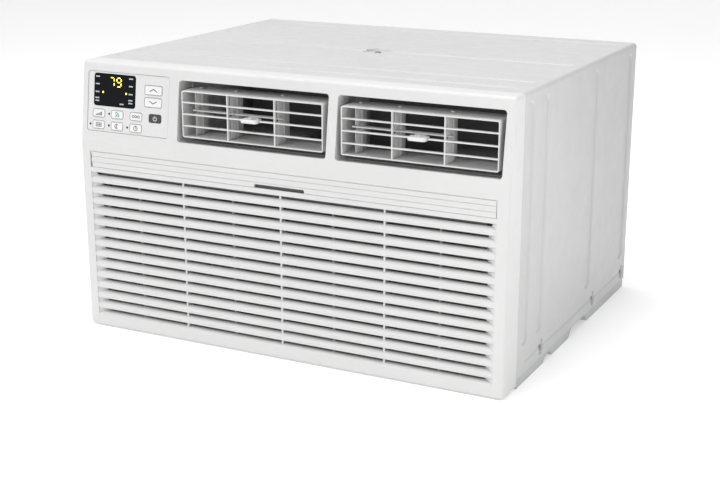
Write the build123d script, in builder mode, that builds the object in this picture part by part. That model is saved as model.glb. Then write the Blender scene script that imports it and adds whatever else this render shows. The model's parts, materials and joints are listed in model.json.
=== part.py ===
from build123d import *
import os
from math import atan, cos, degrees, radians, sin

os.makedirs("parts", exist_ok=True)

# ---------------------------------------------------------------- driving dimensions
# Frame: +X to the right of someone facing the unit, front face towards -Y, +Z up,
# origin at the centre of the base, on the surface the unit stands on.
WIDTH = 615.0
HEIGHT = 368.0
DEPTH = 500.0
FRONT = -DEPTH / 2
BACK = DEPTH / 2
FIT = 0.1  # radial clearance of a pin in its hole
GAP = 0.4  # clearance between neighbouring mouldings

# front bezel: upright below the knee, leaning back above it
BEZEL_DEPTH = 42.0
BEZEL_FOOT = 1.5
BEZEL_WALL = 3.0
BEZEL_EDGE_R = 5.0
KNEE_Z = 258.0
LEAN_RUN = 15.0
LEAN = atan(LEAN_RUN / (HEIGHT - KNEE_Z))

# intake grille
GRILLE_HALF_W = 292.0
GRILLE_TOP = 220.0
GRILLE_ROWS = 14
GRILLE_PITCH = 14.9
SLAT_DEPTH = 7.5
SLAT_RISE = 10.6
SLAT_NOSE = 5.2
SLAT_THICK = 1.6
GRILLE_BOTTOM = GRILLE_TOP - GRILLE_ROWS * GRILLE_PITCH + SLAT_NOSE

# filter: slides up and forward through the slot above the grille
SLOT_LOW = 226.5
SLOT_HIGH = 249.5
FILTER_TILT = 16.0
FILTER_THICK = 3.6
FILTER_HALF_W = 278.0
FILTER_LENGTH = 210.0
FILTER_RIM = 9.0

# louvre cassettes in the leaning face
MOUTH_W = 218.0
MOUTH_H = 80.0
MOUTH_R = 4.0
MOUTH_V = 55.3
MOUTH_X = {"left": -43.7, "right": 187.2}
COLLAR_DEPTH = 30.0
COLLAR_WALL = 2.0
CASSETTE_W = 206.0
CASSETTE_H = 61.0
CASSETTE_DEPTH = 40.0
CASSETTE_WALL = 1.6
CASSETTE_PIVOT_W = -20.0
BAR = 1.7
BAR_DEPTH = 4.5
PIVOT_R = 2.5
VANE_X = (-87.0, -34.3, 34.3)
VANE_PIN_W = -23.0
VANE_PEG_W = -13.0
VANE_PIN_R = 1.5
VANE_HEAD_R = 2.3
VANE_HEAD_H = 1.7
VANE_PEG_R = 1.0
VANE_THICK = 1.4
LINK_V = 4.0
LINK_THICK = 1.6

# control panel in the leaning face
PANEL_X = (-297.0, -167.6)
PANEL_V = (18.2, 98.0)
PANEL_THICK = 1.7
PANEL_SINK = 0.5
SMALL_KEY = (19.2, 10.8)
BIG_KEY = (27.2, 12.3)
KEYS = {
    "button_fan_speed": (-278.4, 42.5, SMALL_KEY),
    "button_eco": (-248.7, 42.5, SMALL_KEY),
    "button_mode": (-218.7, 42.5, SMALL_KEY),
    "button_power": (-188.5, 42.5, SMALL_KEY),
    "button_filter": (-278.4, 27.1, SMALL_KEY),
    "button_sleep": (-248.7, 27.1, SMALL_KEY),
    "button_timer": (-218.7, 27.1, SMALL_KEY),
    "button_up": (-192.3, 78.9, BIG_KEY),
    "button_down": (-192.3, 62.9, BIG_KEY),
}
DISPLAY = (-254.0, 73.9, 66.4, 42.6)
LENS_SPOTS = ((-261.9, 42.6), (-291.9, 27.1), (-261.9, 27.1), (-232.1, 27.1))
LENS_R = 1.3
KEY_R = 2.4
DISPLAY_R = 3.5
PANEL_R = 3.5

# sheet-metal cabinet
SHEET = 1.2
CABINET_LOW = 13.0
CABINET_EDGE_R = 5.0
BEAD_W = 23.0
TOP_BEAD_W = 11.0
BEAD_DEEP = 1.8
BEAD_SLOPE = 55  # degrees from the sheet's normal
TOP_BEADS = (71.0, 119.0, 262.0, 469.0)
SIDE_BEADS = (64.5, 116.0, 314.0, 471.0)
SCREW_D = (130.0, 345.0, 484.0)
SCREW_Z = 25.0
TOP_SCREW = (9.0, 262.0)

# base pan
PAN_HALF_W = 303.6
PAN_FRONT = 44.0
PAN_BACK = 497.0
PAN_WALL_H = 32.0
PAN_SHEET = 1.5
PAN_RIM_HALF_W = 306.9
GRIPS = ((244.0, 324.0, 12.0), (142.0, 176.0, 8.0))
GRIP_REACH = 22.0
GRIP_R = 4.0

# fan line: one shaft carries the blower in front and the condenser fan behind
SHAFT_X = 72.0
SHAFT_Z = 155.0
SHAFT_R = 4.0


def depth(d):
    """Y of a point d behind the front plane."""
    return FRONT + d


def label_and_write(builder, name):
    builder.part.label = name
    export_step(builder.part, "parts/" + name + ".step")


def box_at(x0, x1, d0, d1, z0, z1, mode=Mode.ADD):
    """Block between two X values, two depths behind the front plane and two heights."""
    with Locations(((x0 + x1) / 2, depth((d0 + d1) / 2), (z0 + z1) / 2)):
        Box(x1 - x0, d1 - d0, z1 - z0, mode=mode)


def rod_y(x, z, radius, d0, d1, mode=Mode.ADD):
    """Cylinder along Y."""
    with BuildSketch(Plane.XZ.offset(-depth(d1))) as disc:
        with Locations((x, z)):
            Circle(radius)
    extrude(disc.sketch, amount=d1 - d0, mode=mode)


# the leaning face: local x along +X, local y up the face from the knee, local z outward
LEAN_UP = Vector(0, sin(LEAN), cos(LEAN))
LEAN_OUT = Vector(0, -cos(LEAN), sin(LEAN))


def face_plane(x, v, w=0.0):
    origin = Vector(x, FRONT, KNEE_Z) + LEAN_UP * v + LEAN_OUT * w
    return Plane(origin=origin, x_dir=(1, 0, 0), z_dir=LEAN_OUT)


# the filter's plane: local y along its slide, local z towards the front
TILT = radians(FILTER_TILT)
SLIDE_DIR = Vector(0, -sin(TILT), cos(TILT))
FILTER_PLANE = Plane(
    origin=(0, FRONT - GAP, SLOT_HIGH),
    x_dir=(1, 0, 0),
    z_dir=(0, -cos(TILT), -sin(TILT)),
)


# ---------------------------------------------------------------- front bezel
def slat(base_z):
    """Rounded grille slat: the top runs back and up to the slit, the nose turns under."""
    nose = (FRONT, base_z + SLAT_NOSE)
    heel = (FRONT + 1.2, base_z)
    crest = (FRONT + SLAT_DEPTH, base_z + SLAT_RISE)
    with BuildSketch(Plane.YZ.offset(-GRILLE_HALF_W - 1)) as profile:
        with BuildLine():
            ThreePointArc(heel, (FRONT + 0.3, base_z + 2.4), nose)
            ThreePointArc(nose, (FRONT + 2.2, base_z + 8.6), crest)
            Polyline(
                crest,
                (FRONT + SLAT_DEPTH, base_z + SLAT_RISE - SLAT_THICK),
                (FRONT + 2.0 + SLAT_THICK, base_z + SLAT_NOSE),
                (FRONT + 1.2 + SLAT_THICK, base_z),
                heel,
            )
        make_face()
    extrude(profile.sketch, amount=2 * GRILLE_HALF_W + 2)


def pocket_ends():
    """Sloped wedge at both ends of the grille rows, which closes the slits like a pocket."""
    run = 12.0
    for side in (-1, 1):
        with BuildSketch(Plane.XY.offset(GRILLE_BOTTOM - 2)) as wedge:
            with BuildLine():
                Polyline(
                    (side * GRILLE_HALF_W, FRONT + 1.0),
                    (side * (GRILLE_HALF_W - run), FRONT + SLAT_DEPTH),
                    (side * (GRILLE_HALF_W - run), FRONT + SLAT_DEPTH + 2),
                    (side * (GRILLE_HALF_W + 2), FRONT + SLAT_DEPTH + 2),
                    (side * (GRILLE_HALF_W + 2), FRONT + 1.0),
                    close=True,
                )
            make_face()
        extrude(wedge.sketch, amount=GRILLE_TOP - GRILLE_BOTTOM + 4)


with BuildPart() as front_bezel:
    with BuildSketch(Plane.YZ.offset(-WIDTH / 2)) as outline:
        with BuildLine():
            Polyline(
                (FRONT, BEZEL_FOOT),
                (FRONT, KNEE_Z),
                (FRONT + LEAN_RUN, HEIGHT),
                (depth(BEZEL_DEPTH), HEIGHT),
                (depth(BEZEL_DEPTH), BEZEL_FOOT),
                close=True,
            )
        make_face()
        front_corners = outline.vertices().filter_by_position(Axis.X, FRONT - 1, FRONT + LEAN_RUN + 1)
        fillet(front_corners.sort_by(Axis.Y)[-1], radius=BEZEL_EDGE_R)
        fillet(outline.vertices().sort_by_distance((FRONT, BEZEL_FOOT))[0], radius=BEZEL_EDGE_R - 2)
        fillet(outline.vertices().sort_by_distance((FRONT, KNEE_Z))[0], radius=60)
    extrude(amount=WIDTH)
    for side_face in (front_bezel.faces().sort_by(Axis.X)[0], front_bezel.faces().sort_by(Axis.X)[-1]):
        rim = side_face.edges().filter_by(lambda e: e.center().Y < depth(BEZEL_DEPTH) - 0.5)
        rim = rim.filter_by(lambda e: e.center().Z > BEZEL_FOOT + 0.1)
        fillet(rim, radius=BEZEL_EDGE_R - 0.5)
    # hollow, open at the back
    with BuildSketch(Plane.YZ.offset(-WIDTH / 2 + BEZEL_WALL)):
        with BuildLine():
            Polyline(
                (FRONT + BEZEL_WALL, BEZEL_FOOT + BEZEL_WALL),
                (FRONT + BEZEL_WALL, KNEE_Z),
                (FRONT + LEAN_RUN + BEZEL_WALL, HEIGHT - BEZEL_WALL),
                (depth(BEZEL_DEPTH + 1), HEIGHT - BEZEL_WALL),
                (depth(BEZEL_DEPTH + 1), BEZEL_FOOT + BEZEL_WALL),
                close=True,
            )
        make_face()
    extrude(amount=WIDTH - 2 * BEZEL_WALL, mode=Mode.SUBTRACT)
    # collars round the two louvre mouths, with the cassettes' pivot bores in their side walls
    for x in MOUTH_X.values():
        with BuildSketch(face_plane(x, MOUTH_V, -BEZEL_WALL + 0.5)):
            RectangleRounded(MOUTH_W + 2 * COLLAR_WALL, MOUTH_H + 2 * COLLAR_WALL, MOUTH_R + COLLAR_WALL)
        extrude(amount=-(COLLAR_DEPTH - BEZEL_WALL + 0.5))
    for x in MOUTH_X.values():
        with BuildSketch(face_plane(x, MOUTH_V, BEZEL_WALL)):
            RectangleRounded(MOUTH_W, MOUTH_H, MOUTH_R)
        extrude(amount=-(COLLAR_DEPTH + 2 * BEZEL_WALL), mode=Mode.SUBTRACT)
        pivot = face_plane(x, MOUTH_V, CASSETTE_PIVOT_W).origin
        with BuildSketch(Plane.YZ.offset(x - MOUTH_W / 2 - COLLAR_WALL)):
            with Locations((pivot.Y, pivot.Z)):
                Circle(PIVOT_R + FIT)
        extrude(amount=MOUTH_W + 2 * COLLAR_WALL, mode=Mode.SUBTRACT)
    # control panel seat: a shallow pocket with a window behind it
    panel_w = PANEL_X[1] - PANEL_X[0]
    panel_h = PANEL_V[1] - PANEL_V[0]
    panel_plane = face_plane(sum(PANEL_X) / 2, sum(PANEL_V) / 2)
    with BuildSketch(panel_plane):
        RectangleRounded(panel_w, panel_h, PANEL_R)
    extrude(amount=-(PANEL_THICK + PANEL_SINK), mode=Mode.SUBTRACT)
    with BuildSketch(panel_plane):
        RectangleRounded(panel_w - 4, panel_h - 4, PANEL_R)
    extrude(amount=-BEZEL_WALL - 1, mode=Mode.SUBTRACT)
    # intake grille
    box_at(-GRILLE_HALF_W, GRILLE_HALF_W, -1, BEZEL_WALL + 1, GRILLE_BOTTOM, GRILLE_TOP, Mode.SUBTRACT)
    pocket_ends()
    for row in range(GRILLE_ROWS):
        slat(GRILLE_TOP - (row + 1) * GRILLE_PITCH)
    # ribs behind the slats; the deep part stops short of the filter
    rib_top = GRILLE_TOP - GRILLE_PITCH - 1
    for rib_x in (-GRILLE_HALF_W / 2, 0, GRILLE_HALF_W / 2):
        box_at(rib_x - 1.3, rib_x + 1.3, 3.0, 6.0, GRILLE_BOTTOM - 3, GRILLE_TOP + 3)
        box_at(rib_x - 1.3, rib_x + 1.3, 5.0, SLAT_DEPTH + 5, GRILLE_BOTTOM - 3, rib_top)
    for rib_x in (-219, -73, 73, 219):
        box_at(rib_x - 0.7, rib_x + 0.7, SLAT_DEPTH - 1, SLAT_DEPTH + 4, GRILLE_BOTTOM - 3, rib_top)
    # slot for the filter, and the way its frame takes up and out of it
    box_at(-GRILLE_HALF_W, GRILLE_HALF_W, -1, BEZEL_WALL + 1, SLOT_LOW, SLOT_HIGH - 12, Mode.SUBTRACT)
    with BuildSketch(FILTER_PLANE.offset(-0.35)):
        with Locations((0, -FILTER_LENGTH / 2)):
            Rectangle(2 * GRILLE_HALF_W, FILTER_LENGTH + 60)
    extrude(amount=FILTER_THICK + 0.7, mode=Mode.SUBTRACT)
label_and_write(front_bezel, "front_bezel")


# ---------------------------------------------------------------- air filter
HANDLE_X = (-289.4, 291.4)
with BuildPart() as filter_handle:
    box_at(HANDLE_X[0], HANDLE_X[1], 0, BEZEL_WALL, SLOT_LOW + GAP, SLOT_HIGH)
    # the top edge is bevelled along the slide
    with BuildSketch(FILTER_PLANE):
        Rectangle(2 * WIDTH, 80)
    extrude(amount=-30, mode=Mode.SUBTRACT)
    # finger notch in the lower edge
    with BuildSketch(Plane.XZ.offset(-FRONT + 1)):
        with Locations((0, SLOT_LOW + GAP + 1.2)):
            RectangleRounded(72, 6.4, 2.0)
    extrude(amount=-BEZEL_WALL - 2, mode=Mode.SUBTRACT)
    # two shallow lines along the handle
    for line_z in (233.5, 241.0):
        box_at(HANDLE_X[0] - 1, HANDLE_X[1] + 1, -1, 0.4, line_z, line_z + 0.7, Mode.SUBTRACT)
    # locating tab at the left end
    box_at(HANDLE_X[0] - 1.8, HANDLE_X[0] + 2, 0.8, 2.4, 232.5, 239.0)
label_and_write(filter_handle, "filter_handle")

FRAME_TOP = (BEZEL_WALL + GAP + FILTER_THICK * cos(TILT)) / sin(TILT)
FRAME_V = (-FRAME_TOP - FILTER_LENGTH, -(BEZEL_WALL + GAP) / sin(TILT))
with BuildPart() as filter_frame:
    with BuildSketch(FILTER_PLANE):
        with Locations((0, (FRAME_V[0] + FRAME_V[1]) / 2)):
            RectangleRounded(2 * FILTER_HALF_W, FRAME_V[1] - FRAME_V[0], 3)
    extrude(amount=FILTER_THICK)
    window_h = (FRAME_V[1] - FRAME_V[0] - 2 * FILTER_RIM - 12 - 2 * 5) / 3
    window_w = (2 * FILTER_HALF_W - 2 * FILTER_RIM - 3 * 5) / 4
    with BuildSketch(FILTER_PLANE):
        with Locations((0, (FRAME_V[0] + FRAME_V[1]) / 2 - 6)):
            with GridLocations(window_w + 5, window_h + 5, 4, 3):
                RectangleRounded(window_w, window_h, 2)
    extrude(amount=FILTER_THICK, mode=Mode.SUBTRACT)
    # the frame ends on the back of the handle
    box_at(-WIDTH, WIDTH, -30, BEZEL_WALL, 200, 300, Mode.SUBTRACT)
label_and_write(filter_frame, "filter_frame")

with BuildPart() as filter_mesh:
    with BuildSketch(FILTER_PLANE.offset(FILTER_THICK / 2 - 0.3)):
        with Locations((0, (FRAME_V[0] + FRAME_V[1]) / 2 - 6)):
            with GridLocations(window_w + 5, window_h + 5, 4, 3):
                RectangleRounded(window_w - 0.02, window_h - 0.02, 2)
    extrude(amount=0.6)
label_and_write(filter_mesh, "filter_mesh")

RAIL_X = FILTER_HALF_W + 5
with BuildPart() as filter_guides:
    with BuildSketch(FILTER_PLANE.offset(-2.5)):
        with Locations((0, FRAME_V[0] / 2 - 28)):
            with GridLocations(2 * RAIL_X, 1, 2, 1):
                Rectangle(14, 160)
    extrude(amount=FILTER_THICK + 5)
    with BuildSketch(FILTER_PLANE.offset(-0.4)):
        with Locations((0, FRAME_V[0] / 2 - 28)):
            Rectangle(2 * FILTER_HALF_W + 0.8, 200)
    extrude(amount=FILTER_THICK + 0.8, mode=Mode.SUBTRACT)
label_and_write(filter_guides, "filter_guides")


# ---------------------------------------------------------------- louvre cassettes
# local y of a plane whose z runs up the leaning face points to the back
VANE_PIN_OFFSET = CASSETTE_PIVOT_W - VANE_PIN_W
VANE_END_GAP = 0.5
UP = Vector(0, 0, 1)


def louvre_plane(x, v=0.0, w=0.0):
    """Plane on an upright cassette's front: v up from its middle, w forward of its front."""
    pivot = face_plane(x, MOUTH_V, CASSETTE_PIVOT_W).origin
    origin = pivot + UP * v + Vector(0, CASSETTE_PIVOT_W - w, 0)
    return Plane(origin=origin, x_dir=(1, 0, 0), z_dir=(0, -1, 0))


def make_cassette(name, x):
    """Box frame with three cross bars and two uprights, tilting on two side stubs."""
    with BuildPart() as cassette:
        with BuildSketch(louvre_plane(x)):
            RectangleRounded(CASSETTE_W, CASSETTE_H, 3)
            RectangleRounded(
                CASSETTE_W - 2 * CASSETTE_WALL, CASSETTE_H - 2 * CASSETTE_WALL, 1.6, mode=Mode.SUBTRACT
            )
        extrude(amount=-CASSETTE_DEPTH)
        with BuildSketch(louvre_plane(x)):
            with GridLocations(1, CASSETTE_H / 4, 1, 3):
                Rectangle(CASSETTE_W - CASSETTE_WALL, BAR)
            with GridLocations(CASSETTE_W / 3, 1, 2, 1):
                Rectangle(BAR, CASSETTE_H - CASSETTE_WALL)
        extrude(amount=-BAR_DEPTH)
        # side stubs
        pivot = face_plane(x, MOUTH_V, CASSETTE_PIVOT_W).origin
        stub_end = MOUTH_W / 2 + COLLAR_WALL - 0.3
        for side in (-1, 1):
            with BuildSketch(Plane.YZ.offset(x + side * (CASSETTE_W / 2 - 1))):
                with Locations((pivot.Y, pivot.Z)):
                    Circle(PIVOT_R)
            extrude(amount=side * (stub_end - CASSETTE_W / 2 + 1))
        # vane pin holes through the top and bottom walls
        with BuildSketch(Plane(origin=pivot, x_dir=(1, 0, 0), z_dir=UP)):
            with Locations(*[(vx, VANE_PIN_OFFSET) for vx in VANE_X]):
                Circle(VANE_PIN_R + FIT)
        extrude(amount=CASSETTE_H, both=True, mode=Mode.SUBTRACT)
    label_and_write(cassette, name)


def make_vane(name, x, vx):
    """Upright guide vane on its own pin, with a peg in a notch for the link bar."""
    half = CASSETTE_H / 2 - CASSETTE_WALL - VANE_END_GAP
    base = louvre_plane(x + vx)
    up_plane = Plane(origin=base.origin - UP * half, x_dir=(1, 0, 0), z_dir=UP)
    with BuildPart() as vane:
        with BuildSketch(up_plane):
            with Locations((0, 23.0)):
                Ellipse(VANE_THICK, 15.5)
            with Locations((0, -VANE_PIN_W)):
                Circle(VANE_PIN_R + 0.9)
        extrude(amount=2 * half)
        with BuildSketch(louvre_plane(x + vx, LINK_V)):
            Rectangle(12, 6)
        extrude(amount=VANE_PEG_W - 6.2, mode=Mode.SUBTRACT)
        with BuildSketch(up_plane.offset(2)):
            with Locations((0, -VANE_PEG_W)):
                Circle(VANE_PEG_R)
        extrude(amount=2 * half - 4)
        # pin through both walls, with a snap head outside each
        pin_reach = CASSETTE_WALL + VANE_END_GAP + 0.3 + VANE_HEAD_H
        with BuildSketch(up_plane.offset(-pin_reach)):
            with Locations((0, -VANE_PIN_W)):
                Circle(VANE_PIN_R)
        extrude(amount=2 * (half + pin_reach))
        for level in (-pin_reach, 2 * half + pin_reach - VANE_HEAD_H):
            with BuildSketch(up_plane.offset(level)):
                with Locations((0, -VANE_PIN_W)):
                    Circle(VANE_HEAD_R)
            extrude(amount=VANE_HEAD_H)
    label_and_write(vane, name)


def make_link(name, x):
    """Flat bar with a slot for each vane's peg."""
    middle = (VANE_X[0] + VANE_X[2]) / 2
    reach = VANE_X[2] - VANE_X[0] + 12
    link_plane = Plane(origin=louvre_plane(x, LINK_V - LINK_THICK / 2).origin, x_dir=(1, 0, 0), z_dir=UP)
    with BuildPart() as link:
        with BuildSketch(link_plane):
            with Locations((middle, -VANE_PEG_W + 0.75)):
                RectangleRounded(reach, 8.7, 2)
            with Locations(*[(vx, -VANE_PEG_W + 1.15) for vx in VANE_X]):
                RectangleRounded(3.9, 5.1, 1.2, mode=Mode.SUBTRACT)
        extrude(amount=LINK_THICK)
    label_and_write(link, name)


def make_knob(name, x):
    """Thumb tongue that straddles the centre bar and carries the link bar."""
    level = louvre_plane(x)
    side_plane = Plane(origin=level.origin, x_dir=(1, 0, 0), z_dir=UP)
    with BuildPart() as knob:
        with BuildSketch(side_plane.offset(-2.4)):
            with Locations((0, -0.6)):
                RectangleRounded(24, 13.2, 4.5)
        extrude(amount=4.8)
        fillet(knob.edges().filter_by(lambda e: e.center().Y < level.origin.Y - 2), radius=1.2)
        # channel for the centre bar
        with BuildSketch(side_plane.offset(-BAR / 2 - 0.3)):
            with Locations((0, (BAR_DEPTH + 8) / 2 - 0.35)):
                Rectangle(40, BAR_DEPTH + 8)
        extrude(amount=BAR + 0.6, mode=Mode.SUBTRACT)
        # yoke behind the bar, up to the link bar
        with BuildSketch(side_plane.offset(-2.4)):
            with Locations((0, BAR_DEPTH + 2.4)):
                Rectangle(14, 4.0)
        extrude(amount=4.8 + LINK_V - 0.8 - 2.4 - 2.4 + 2.4)
        with BuildSketch(side_plane.offset(-2.4)):
            with Locations((0, BAR_DEPTH + 1.4)):
                Rectangle(24, 1.8)
        extrude(amount=4.8)
        with BuildSketch(side_plane.offset(LINK_V - 0.8 - 1.4)):
            with Locations((0, 10)):
                RectangleRounded(14, 11, 1.5)
        extrude(amount=1.4)
    label_and_write(knob, name)


for side_name, mouth_x in MOUTH_X.items():
    make_cassette(side_name + "_cassette", mouth_x)
    for number, vane_x in enumerate(VANE_X, start=1):
        make_vane(side_name + "_vane_" + str(number), mouth_x, vane_x)
    make_link(side_name + "_link_bar", mouth_x)
    make_knob(side_name + "_knob", mouth_x)


# ---------------------------------------------------------------- control panel
PANEL_TOP = -PANEL_SINK
PANEL_BACK = PANEL_TOP - PANEL_THICK
DISPLAY_X, DISPLAY_V, DISPLAY_W, DISPLAY_H = DISPLAY
with BuildPart() as control_panel:
    with BuildSketch(face_plane(sum(PANEL_X) / 2, sum(PANEL_V) / 2, PANEL_BACK)):
        RectangleRounded(panel_w - 2 * GAP, panel_h - 2 * GAP, PANEL_R - GAP)
    extrude(amount=PANEL_THICK)
    for key_x, key_v, (key_w, key_h) in KEYS.values():
        with BuildSketch(face_plane(key_x, key_v)):
            RectangleRounded(key_w + 2 * GAP, key_h + 2 * GAP, KEY_R + GAP)
        extrude(amount=2 * PANEL_BACK, mode=Mode.SUBTRACT)
    with BuildSketch(face_plane(DISPLAY_X, DISPLAY_V)):
        RectangleRounded(DISPLAY_W + 2 * GAP, DISPLAY_H + 2 * GAP, DISPLAY_R + GAP)
    extrude(amount=2 * PANEL_BACK, mode=Mode.SUBTRACT)
    for lens_x, lens_v in LENS_SPOTS:
        with BuildSketch(face_plane(lens_x, lens_v)):
            Circle(LENS_R + FIT)
        extrude(amount=2 * PANEL_BACK, mode=Mode.SUBTRACT)
label_and_write(control_panel, "control_panel")

for key_name, (key_x, key_v, (key_w, key_h)) in KEYS.items():
    with BuildPart() as button:
        with BuildSketch(face_plane(key_x, key_v, PANEL_BACK - 0.4)):
            RectangleRounded(key_w, key_h, KEY_R)
        extrude(amount=PANEL_THICK + 0.4 + 0.35)
        fillet(button.faces().sort_by(Axis.Y)[0].edges(), radius=0.3)
        # retaining flange behind the panel and a stem towards the switch
        with BuildSketch(face_plane(key_x, key_v, PANEL_BACK - 1.6)):
            RectangleRounded(key_w + 2.4, key_h + 2.4, KEY_R)
        extrude(amount=1.2)
        with BuildSketch(face_plane(key_x, key_v, PANEL_BACK - 5.0)):
            Circle(2.5)
        extrude(amount=3.4)
    label_and_write(button, key_name)

with BuildPart() as display_window:
    with BuildSketch(face_plane(DISPLAY_X, DISPLAY_V, PANEL_BACK - 1.0)):
        RectangleRounded(DISPLAY_W, DISPLAY_H, DISPLAY_R)
    extrude(amount=PANEL_THICK + 1.0)
label_and_write(display_window, "display_window")

with BuildPart() as status_lenses:
    for lens_x, lens_v in LENS_SPOTS:
        with BuildSketch(face_plane(lens_x, lens_v, PANEL_BACK - 1.0)):
            Circle(LENS_R)
        extrude(amount=PANEL_THICK + 1.3)
label_and_write(status_lenses, "status_lenses")

BOARD_W = -14.0
with BuildPart() as control_board:
    with BuildSketch(face_plane(sum(PANEL_X) / 2, sum(PANEL_V) / 2, BOARD_W)):
        Rectangle(panel_w - 14, panel_h - 12)
    extrude(amount=1.6)
    # switch under every key, display module, relays
    for key_x, key_v, (key_w, key_h) in KEYS.values():
        with BuildSketch(face_plane(key_x, key_v, BOARD_W + 1.6)):
            Rectangle(6, 6)
        extrude(amount=3.4)
    with BuildSketch(face_plane(DISPLAY_X, DISPLAY_V, BOARD_W + 1.6)):
        Rectangle(50.3, 19)
    extrude(amount=7)
    for relay_x in (-275, -235, -195):
        with BuildSketch(face_plane(relay_x, 50, BOARD_W)):
            Rectangle(18, 24)
        extrude(amount=-15)
label_and_write(control_board, "control_board")

HOUSING_X = (PANEL_X[0] - 3, PANEL_X[1] + 5)
HOUSING_D = (BEZEL_DEPTH + 6, 150.0)
HOUSING_Z = (254.0, 358.0)
HOUSING_WALL = 1.6
with BuildPart() as control_housing:
    box_at(*HOUSING_X, *HOUSING_D, *HOUSING_Z)
    box_at(
        HOUSING_X[0] + HOUSING_WALL, HOUSING_X[1] - HOUSING_WALL,
        HOUSING_D[0] - 1, HOUSING_D[1] - HOUSING_WALL,
        HOUSING_Z[0] + HOUSING_WALL, HOUSING_Z[1] - HOUSING_WALL, Mode.SUBTRACT,
    )
label_and_write(control_housing, "control_housing")

with BuildPart() as run_capacitor:
    with BuildSketch(Plane.XZ.offset(-depth(HOUSING_D[1] - 4))):
        with Locations((-270, 284)):
            SlotOverall(52, 34)
    extrude(amount=78)
    fillet(run_capacitor.edges().filter_by(GeomType.CIRCLE), radius=2)
    with BuildSketch(Plane.XZ.offset(-depth(HOUSING_D[1] - 82))):
        with Locations((-282, 284), (-270, 284), (-258, 284)):
            Rectangle(6.3, 1)
    extrude(amount=9)
label_and_write(run_capacitor, "run_capacitor")


# ---------------------------------------------------------------- cabinet
def bead_cut(plane, length, wide, deep, mode):
    """Rounded bead with sloped walls, pressed inwards from a plane on the sheet."""
    with BuildSketch(plane) as bead:
        SlotOverall(length, wide)
    extrude(bead.sketch, amount=-deep, taper=BEAD_SLOPE, mode=mode)


TOP_PLANE = Plane(origin=(0, 0, HEIGHT), x_dir=(1, 0, 0), z_dir=(0, 0, 1))
CABINET_FRONT = BEZEL_DEPTH + GAP
SIDE_BEAD_Z = (50.0, 356.0)
with BuildPart() as cabinet:
    with BuildSketch(Plane.XZ.offset(-BACK)) as section:
        with Locations((0, (HEIGHT + CABINET_LOW) / 2)):
            Rectangle(WIDTH, HEIGHT - CABINET_LOW)
        fillet(section.vertices().group_by(Axis.Y)[-1], radius=CABINET_EDGE_R)
    extrude(amount=BACK - depth(CABINET_FRONT))
    with BuildSketch(Plane.XZ.offset(-BACK - 1)) as hollow:
        with Locations((0, (HEIGHT + CABINET_LOW) / 2 - SHEET)):
            Rectangle(WIDTH - 2 * SHEET, HEIGHT - CABINET_LOW)
        fillet(hollow.vertices().group_by(Axis.Y)[-1], radius=CABINET_EDGE_R - SHEET)
    extrude(amount=DEPTH, mode=Mode.SUBTRACT)
    side_planes = [
        Plane(origin=(side * WIDTH / 2, 0, 0), x_dir=(0, 0, 1), z_dir=(side, 0, 0)) for side in (-1, 1)
    ]
    screw_marks = [(side, d) for side in (-1, 1) for d in SCREW_D]
    # the inner side of every pressed feature first, so that the sheet keeps its thickness
    for inner in (True, False):
        grow = 2 * SHEET if inner else 0.0
        drop = SHEET if inner else 0.0
        mode = Mode.ADD if inner else Mode.SUBTRACT
        for bead_d in TOP_BEADS:
            spot = TOP_PLANE.origin + Vector(0, depth(bead_d), -drop)
            bead_plane = Plane(origin=spot, x_dir=(1, 0, 0), z_dir=(0, 0, 1))
            bead_cut(bead_plane, WIDTH - 28 + grow, TOP_BEAD_W + grow, BEAD_DEEP, mode)
        pad_spot = (TOP_SCREW[0], depth(TOP_SCREW[1]), HEIGHT - drop)
        with BuildSketch(Plane(origin=pad_spot, x_dir=(1, 0, 0), z_dir=(0, 0, 1))):
            Circle(21 + grow / 2)
        extrude(amount=-BEAD_DEEP - 0.8, taper=35, mode=mode)
        for side in (-1, 1):
            x_out = side * (WIDTH / 2 - drop)
            for bead_d in SIDE_BEADS:
                mid = (x_out, depth(bead_d), sum(SIDE_BEAD_Z) / 2)
                bead_plane = Plane(origin=mid, x_dir=(0, 0, 1), z_dir=(side, 0, 0))
                bead_cut(bead_plane, SIDE_BEAD_Z[1] - SIDE_BEAD_Z[0] + grow, BEAD_W + grow, BEAD_DEEP, mode)
            mid = (x_out, depth(283.0), SCREW_Z + 4.5)
            bead_plane = Plane(origin=mid, x_dir=(0, 1, 0), z_dir=(side, 0, 0))
            bead_cut(bead_plane, 428.0 + grow, 7.5 + grow, 1.0, mode)
            for screw_d in SCREW_D:
                spot = (x_out, depth(screw_d), SCREW_Z + 2)
                with BuildSketch(Plane(origin=spot, x_dir=(0, 1, 0), z_dir=(side, 0, 0))):
                    SlotOverall(22 + grow, 15 + grow, rotation=90)
                extrude(amount=-2.2, taper=30, mode=mode)
    for side in (-1, 1):
        for screw_d in SCREW_D:
            spot = (side * WIDTH / 2, depth(screw_d), SCREW_Z)
            with BuildSketch(Plane(origin=spot, x_dir=(0, 1, 0), z_dir=(side, 0, 0))):
                Circle(2.3)
            extrude(amount=-8, mode=Mode.SUBTRACT)
    with BuildSketch(Plane(origin=(TOP_SCREW[0], depth(TOP_SCREW[1]), HEIGHT), z_dir=(0, 0, 1))):
        Circle(2.3)
    extrude(amount=-8, mode=Mode.SUBTRACT)
label_and_write(cabinet, "cabinet")


# ---------------------------------------------------------------- base pan
def grip_profile(d0, d1, rise):
    """Outline of a side cut-out, with sloping ends and rounded upper corners."""
    with BuildSketch(Plane.YZ.offset(-WIDTH / 2)) as grip:
        with BuildLine():
            Polyline(
                (depth(d0), -1), (depth(d0), 0), (depth(d0 + rise), rise),
                (depth(d1 - rise), rise), (depth(d1), 0), (depth(d1), -1), close=True,
            )
        make_face()
        fillet(grip.vertices().group_by(Axis.Y)[-1], radius=GRIP_R)
    return grip.sketch


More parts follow.
